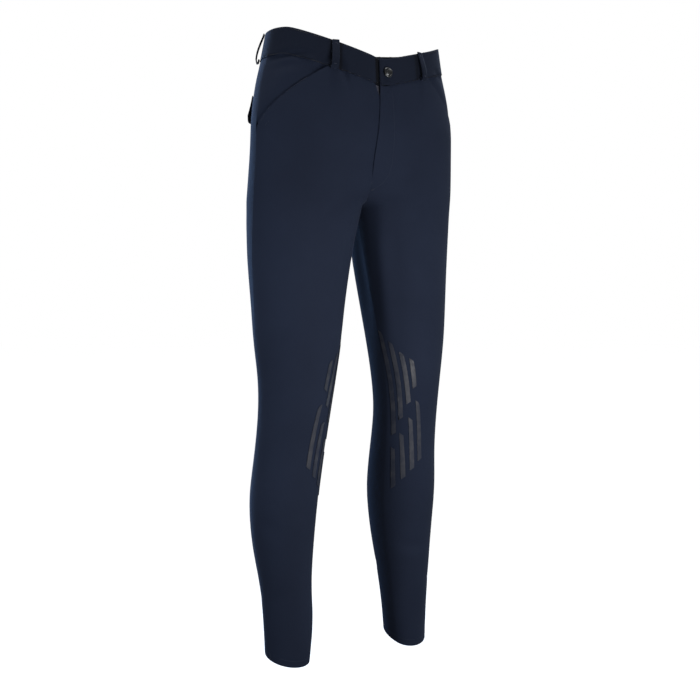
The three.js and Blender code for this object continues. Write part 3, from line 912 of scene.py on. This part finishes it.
# %% Teeth
tooth_pitch = 1.5 * mm
tooth_size = Vector((2.5, 1.1, 0.85)) * mm
tooth_aside, tooth_sunk, tooth_edge = 0.7 * mm, 0.35 * mm, 0.2 * mm
before_fly = -0.2
chain_low, chain_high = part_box("zip_chain")
chain_tree = tree_of(*solids("zip_chain"))
chain_middle = (chain_low.x + chain_high.x) / 2
teeth = bmesh.new()
count = int((chain_high.z - chain_low.z) / tooth_pitch)
for number in range(count):
    z = chain_low.z + (number + 0.5) * tooth_pitch
    hit = along_y(chain_tree, chain_middle, before_fly, z)
    if hit is None:
        continue
    aside = tooth_aside if number % 2 else -tooth_aside
    place = Matrix.Translation(hit[0] + Vector((aside, tooth_sunk, 0))) @ Matrix.Diagonal((*tooth_size, 1))
    bmesh.ops.create_cube(teeth, size=1.0, matrix=place)
bmesh.ops.bevel(teeth, geom=teeth.edges[:], offset=tooth_edge, segments=1, affect="EDGES", profile=0.5,
                material=-1)
add_piece("zip_teeth", finished_mesh(teeth, "zip_teeth"), dark_metal, ("zip_chain",))
print("teeth:", count)

# %% Slider and pull tab
metal_edges = {"zip_slider": 0.5 * mm, "zip_pull": 0.25 * mm}


def bevelled_copy(node, size):
    """A copy of a solid with its sharp edges bevelled."""
    mesh = quad_copy(node, 0.0)
    shape = bmesh.new()
    shape.from_mesh(mesh)
    sharp = [edge for edge in shape.edges if edge.calc_face_angle(0) > rim_angle]
    bmesh.ops.bevel(shape, geom=sharp, offset=size, segments=2, affect="EDGES", profile=0.5, material=-1)
    shape.to_mesh(mesh)
    shape.free()
    return mesh


for name, size in metal_edges.items():
    add_piece(name + "_metal", bevelled_copy(name, size), dark_metal, (name,))
print("metal pieces:", list(metal_edges))

# %% [markdown]
# ## The button
#
# A snap or shank button of dark metal with a raised rim and a shallow domed middle. It could be a
# sphere pressed flat, but a profile spun round its axis gives the rim, the step and the dome in
# one go. Its middle holds plain rings only, and its flank is painted nearly black, as painted shadow.

# %% Spin the button's profile
Ring = namedtuple("Ring", "radius height")
button_profile = [
    Ring(0.0, 0.0), Ring(3.2, 0.0), Ring(3.2, 1.3), Ring(7.3, 1.3), Ring(8.1, 1.7), Ring(8.3, 2.3),
    Ring(8.1, 3.0), Ring(7.4, 3.7), Ring(6.8, 3.9), Ring(6.2, 3.6), Ring(5.8, 2.6), Ring(5.4, 2.3),
    Ring(5.0, 2.9), Ring(4.5, 3.4), Ring(3.4, 3.8), Ring(2.0, 4.0), Ring(0.0, 4.1),
]
button_steps = 48
button_lift = 0.1 * mm
stand_off = 50 * mm
# where the painted shadow on the button's flank starts, and how soft its edge is
painted_shadow_from, painted_shadow_ramp = 7.5 * mm, 0.4 * mm
button_low, button_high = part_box("waist_button")
button_middle = (button_low + button_high) / 2
seat, button_way = along_y(bands_tree, button_middle.x, button_middle.y - stand_off, button_middle.z)
turned = bmesh.new()
rings = [turned.verts.new((ring.radius * mm, 0, ring.height * mm)) for ring in button_profile]
edges = [turned.edges.new(pair) for pair in zip(rings, rings[1:])]
bmesh.ops.spin(turned, geom=rings + edges, cent=(0, 0, 0), axis=(0, 0, 1), dvec=(0, 0, 0),
               angle=math.tau, steps=button_steps, use_merge=True, use_duplicate=False)
bmesh.ops.remove_doubles(turned, verts=turned.verts, dist=weld)
bmesh.ops.recalc_face_normals(turned, faces=turned.faces)
from_axis = np.array([math.hypot(vertex.co.x, vertex.co.y) for vertex in turned.verts])
upright = button_way.to_track_quat("Z", "Y").to_matrix().to_4x4()
raised = Matrix.Translation(seat + button_way * button_lift)
bmesh.ops.transform(turned, matrix=raised @ upright, verts=turned.verts)
button_mesh = finished_mesh(turned, "waist_button_metal")
# painted shadow on the button's outer flank
lay_painted_shade(button_mesh, (from_axis - painted_shadow_from) / painted_shadow_ramp)
add_piece("waist_button_metal", button_mesh, dark_metal, ("waist_button",))
print("button at", [round(value, 4) for value in seat])

# %% [markdown]
# ## Grip bars
#
# The grip inside each knee is silicone, printed on the cloth in slanted bars that reflect more
# light than it does. A printed layer could be colour alone, but it has a real thickness and a
# soft edge that catches light, so the thin solids stay, rounded and laid on the creased cloth.

# %% Silicone
def make_silicone():
    recipe = Recipe(bpy.data.materials.new("grip_silicone"))
    smear = recipe.noise(recipe.place(), 60.0, 3.0)
    pores = recipe.noise(recipe.place(), 1500.0, 2.0)
    worn = recipe.node("ShaderNodeValToRGB", {"stops": [(0.40, 0.0), (0.66, 1.0)]}, {0: smear})
    tone = recipe.mix(worn, (0.0125, 0.0165, 0.0300, 1), (0.0300, 0.0330, 0.0440, 1))
    return recipe.surface(Base_Color=tone, Roughness=0.62 - smear * 0.25, Specular_IOR_Level=0.35,
                          Normal=recipe.bump(pores, 0.04 * mm))


silicone = make_silicone()
print("silicone made")

# %% Lay the bars on the creased cloth
leg_tree = cloth_tree(*panel_names)
bar_nodes = sorted(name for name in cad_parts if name.startswith("grip_"))
bar_rim, bar_levels = 0.7, 2
bar_top, bar_foot, bar_waist = 0.85 * mm, 0.05 * mm, 0.9 * mm
for name in bar_nodes:
    mesh = subdivided(quad_copy(name, bar_rim), bar_levels)
    points = creased(points_of(mesh))
    for index, point in enumerate(points):
        on_cloth, way, _, _ = leg_tree.find_nearest(Vector(point))
        above = (Vector(point) - on_cloth).dot(way)
        points[index] = on_cloth + way * (bar_top if above > bar_waist else bar_foot)
    move_points(mesh, points)
    add_piece(name + "_print", mesh, silicone, (name,))
print("bars:", len(bar_nodes))

# %% [markdown]
# ## Stitching
#
# Two rows run round the waistband, one at its top and one just above its seam. Two run beside each
# slanted pocket, one curves down the left front beside the fly, one holds each turned-up hem, and
# one runs round each pocket flap. A stitch could be painted in the cloth's material, but real
# thread lies on the cloth and catches light, so each stitch is a small long bead, laid along a
# path on the dressed cloth. A path is found by rays, as a tailor feels for an edge: along an edge
# it is then set in by a fixed distance. The waistband's stitches are longer, wider and near black, and
# make the soft dark lines along its two edges: real stitches, painted darker as the shadow in their
# grooves.

# %% Two threads, and the cloth to sew
def make_thread(name, dark, light):
    recipe = Recipe(bpy.data.materials.new(name))
    ply = recipe.noise(recipe.place(), 2400.0, 2.0)
    tone = recipe.mix(ply, dark, light)
    return recipe.surface(Base_Color=tone, Roughness=0.55 + ply * 0.1, Specular_IOR_Level=0.3,
                          Normal=recipe.bump(ply, 0.04 * mm))


light_thread = make_thread("navy_thread", (0.012, 0.017, 0.034, 1), (0.026, 0.033, 0.056, 1))
# near-black thread: real stitches painted as the shadow of their stitched grooves
groove_shadow_thread = make_thread("dark_navy_thread", (0.0022, 0.0030, 0.0058, 1), (0.0040, 0.0054, 0.0100, 1))
sewn = [*panel_names, *band_names, "back_pocket_flap_right", "back_pocket_flap_left"]
dressed = {name: cloth_tree(name) for name in [*sewn, *[loop.name for loop in loops]]}
print("trees to lay stitches on:", len(dressed))

# %% Paths that follow an edge
search_steps = 9


def edge_point(tree, side, on, off):
    """The cloth's edge, between an (angle, z) where a ray meets it and one where none does."""
    if from_outside(tree, side, *on) is None:
        return None
    for _ in range(search_steps):
        middle = ((on[0] + off[0]) / 2, (on[1] + off[1]) / 2)
        if from_outside(tree, side, *middle) is None:
            off = middle
        else:
            on = middle
    return from_outside(tree, side, *on)[0]


def set_in(tree, edge, distance):
    """The edge's points, moved on to the cloth by a distance, with the way out of the cloth."""
    path = []
    for before, point, after in zip(edge, edge[1:], edge[2:]):
        way = tree.find_nearest(point)[1]
        aside = (after - before).cross(way).normalized() * distance
        goals = [point - aside, point + aside]
        tries = [(tree.find_nearest(goal), goal) for goal in goals]
        found = min(tries, key=lambda pair: (pair[0][0] - pair[1]).length)[0]
        path.append((found[0], found[1]))
    return path


print("an edge is found in", search_steps, "halvings")

# %% Beads along a path
light_stitch = (2.5 * mm, 0.5 * mm, 0.42 * mm)
stitch_pitch = 3.2 * mm
thread_shapes = {"light": bmesh.new(), "dark": bmesh.new()}
stitch_counts = {}


def add_row(name, path, pitch=stitch_pitch, size=light_stitch, across=None, tone="light"):
    """One row of stitches along (point, way out) pairs. across turns each stitch off the path."""
    row = bmesh.new()
    walked, due, count = 0.0, pitch / 2, 0
    for (start, way), (end, _) in zip(path, path[1:]):
        step = end - start
        while step.length > 0 and due < walked + step.length:
            place = start + step * ((due - walked) / step.length)
            along = across or step
            forwards = (along - way * along.dot(way)).normalized()
            turn = Matrix((forwards, way.cross(forwards), way)).transposed().to_4x4()
            grow = Matrix.Diagonal((*[length / 2 for length in size], 1))
            bmesh.ops.create_uvsphere(row, u_segments=6, v_segments=4, radius=1,
                                      matrix=Matrix.Translation(place) @ turn @ grow)
            due += pitch
            count += 1
        walked += step.length
    row_mesh = finished_mesh(row, "row")
    thread_shapes[tone].from_mesh(row_mesh)
    bpy.data.meshes.remove(row_mesh)
    stitch_counts[name] = count


def known(points):
    return [point for point in points if point is not None]


print("stitch:", light_stitch[0] / mm, "mm long, one each", stitch_pitch / mm, "mm")

# %% Rows round the waistband and the hems
sides = ((-1, "right"), (1, "left"))
band_middle, waist_dip, dip_angle, dip_power = 968, 0.044, 68, 1.25
band_rows = (("top", 3 * mm, 0.02), ("seam", 5 * mm, -0.12))
groove_shadow_stitch = (3.2 * mm, 1.4 * mm, 0.42 * mm)
band_angles = np.arange(-10, 182, 1.5)
hem_inset = 10 * mm
hem_angles = range(0, 366, 4)
above_hem, below_hem = to_z(60), to_z(-40)


def mid_band(angle):
    """The middle of the waistband's height, which dips at the front."""
    return to_z(band_middle) - waist_dip * max(0, 1 - abs(angle) / dip_angle) ** dip_power


for side, word in sides:
    tree = dressed["waistband_" + word]
    for name, inset, beyond in band_rows:
        edge = [edge_point(tree, side, (angle, mid_band(angle)), (angle, beyond)) for angle in band_angles]
        path = set_in(tree, known(edge), inset)
        # wide near-black stitches, painting the shadow of the groove along the band
        add_row(f"waistband_{word}_{name}", path, size=groove_shadow_stitch, tone="dark")
    tree = cloth_tree("front_" + word, "back_" + word)
    edge = [edge_point(tree, side, (angle, above_hem), (angle, below_hem)) for angle in hem_angles]
    add_row(f"hem_{word}", set_in(tree, known(edge), hem_inset))
print(stitch_counts)

# %% Rows beside the pockets and round the flaps
pocket_insets = (2 * mm, 14 * mm)
pocket_heights = np.arange(838, 948, 3)
on_front, past_front = 20, 100
flap_inset = 3 * mm
flap_steps = 10
sewn_from = 0.3


def flap_corners(low, high):
    """The corners of the row on a flap, as (how far out, how high): down, along its foot and up."""
    near_x = min(abs(low.x), abs(high.x)) + flap_inset
    far_x = max(abs(low.x), abs(high.x)) - flap_inset
    foot, bend = low.z + flap_inset, low.z + 4 * flap_inset
    return [(near_x, high.z), (near_x, bend), (near_x + 3 * flap_inset, foot),
            (far_x - 3 * flap_inset, foot), (far_x, bend), (far_x, high.z)]


for side, word in sides:
    tree = dressed["front_" + word]
    edge = [edge_point(tree, side, (on_front, z), (past_front, z)) for z in map(to_z, pocket_heights)]
    for inset in pocket_insets:
        add_row(f"pocket_{word}_{inset / mm:.0f}", set_in(tree, known(edge), inset))
    flap = "back_pocket_flap_" + word
    corners = flap_corners(*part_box(flap))
    outline = []
    for (x, z), (next_x, next_z) in zip(corners, corners[1:]):
        for share in np.linspace(0, 1, flap_steps):
            across, up = x + (next_x - x) * share, z + (next_z - z) * share
            outline.append(along_y(dressed[flap], side * across, sewn_from, up))
    add_row(f"flap_{word}", known(outline))
print({name: count for name, count in stitch_counts.items() if "waistband" not in name})

# %% The row beside the fly
Curve = namedtuple("Curve", "drop x")
fly_curve = [Curve(94, 17), Curve(127, 20), Curve(157, 24), Curve(185, 27), Curve(207, 28), Curve(223, 25),
             Curve(236, 17), Curve(243, 8), Curve(247, 1)]
rows = np.array(fly_curve, float)
fly_steps = 60
path = []
for share in np.linspace(0, len(rows) - 1, fly_steps):
    drop, x = (np.interp(share, range(len(rows)), rows[:, column]) * mm for column in (0, 1))
    path.append(along_y(dressed["front_left"], x, -sewn_from, -drop))
add_row("fly", known(path))
print("fly stitches:", stitch_counts["fly"])

# %% Bar tacks at the ends of the loops and the fly
tack_size = (2.4 * mm, 0.6 * mm, 0.5 * mm)
tack_pitch = 0.75 * mm
tack_steps = 6
loop_tack, fly_tack = 8 * mm, 9 * mm
tack_below, tack_above = 6 * mm, 7 * mm
fly_tacks = ((5, 246), (-2, 236))


def add_tack(name, tree, place, way, along, length):
    """Close stitches side by side, over a short length."""
    path = []
    for share in np.linspace(-0.5, 0.5, tack_steps):
        point, out, _, _ = tree.find_nearest(place + along * (length * share))
        path.append((point, out if out.dot(way) > 0 else -out))
    add_row(name, path, tack_pitch, tack_size, across=way.cross(along))


for loop in loops:
    low, high, middle, way = loop_place(loop.name)
    tree = dressed[loop.name]
    for end, z in (("top", high.z - tack_below), ("low", low.z + tack_above)):
        start = Vector((middle.x, middle.y, z)) + way * stand_off
        point = tree.ray_cast(start, -way)[0]
        if point is not None:
            add_tack(f"tack_{loop.name}_{end}", tree, point, way, way.cross(Vector((0, 0, 1))), loop_tack)
tree = dressed["front_left"]
for x, drop in fly_tacks:
    hit = along_y(tree, x * mm, -sewn_from, -drop * mm)
    if hit is not None:
        add_tack(f"tack_fly_{drop}", tree, hit[0], Vector((0, -1, 0)), Vector((1, 0, 0.35)), fly_tack)
print("tacks:", sum(name.startswith("tack") for name in stitch_counts))

# %% Gather each thread's stitches into one piece
for tone, material in (("light", light_thread), ("dark", groove_shadow_thread)):
    stitching = finished_mesh(thread_shapes[tone], "stitching_" + tone)
    add_piece("stitching_" + tone, stitching, material)
    print(tone, "stitching:", sum(len(face.vertices) - 2 for face in stitching.polygons), "triangles")
print("stitches:", sum(stitch_counts.values()))
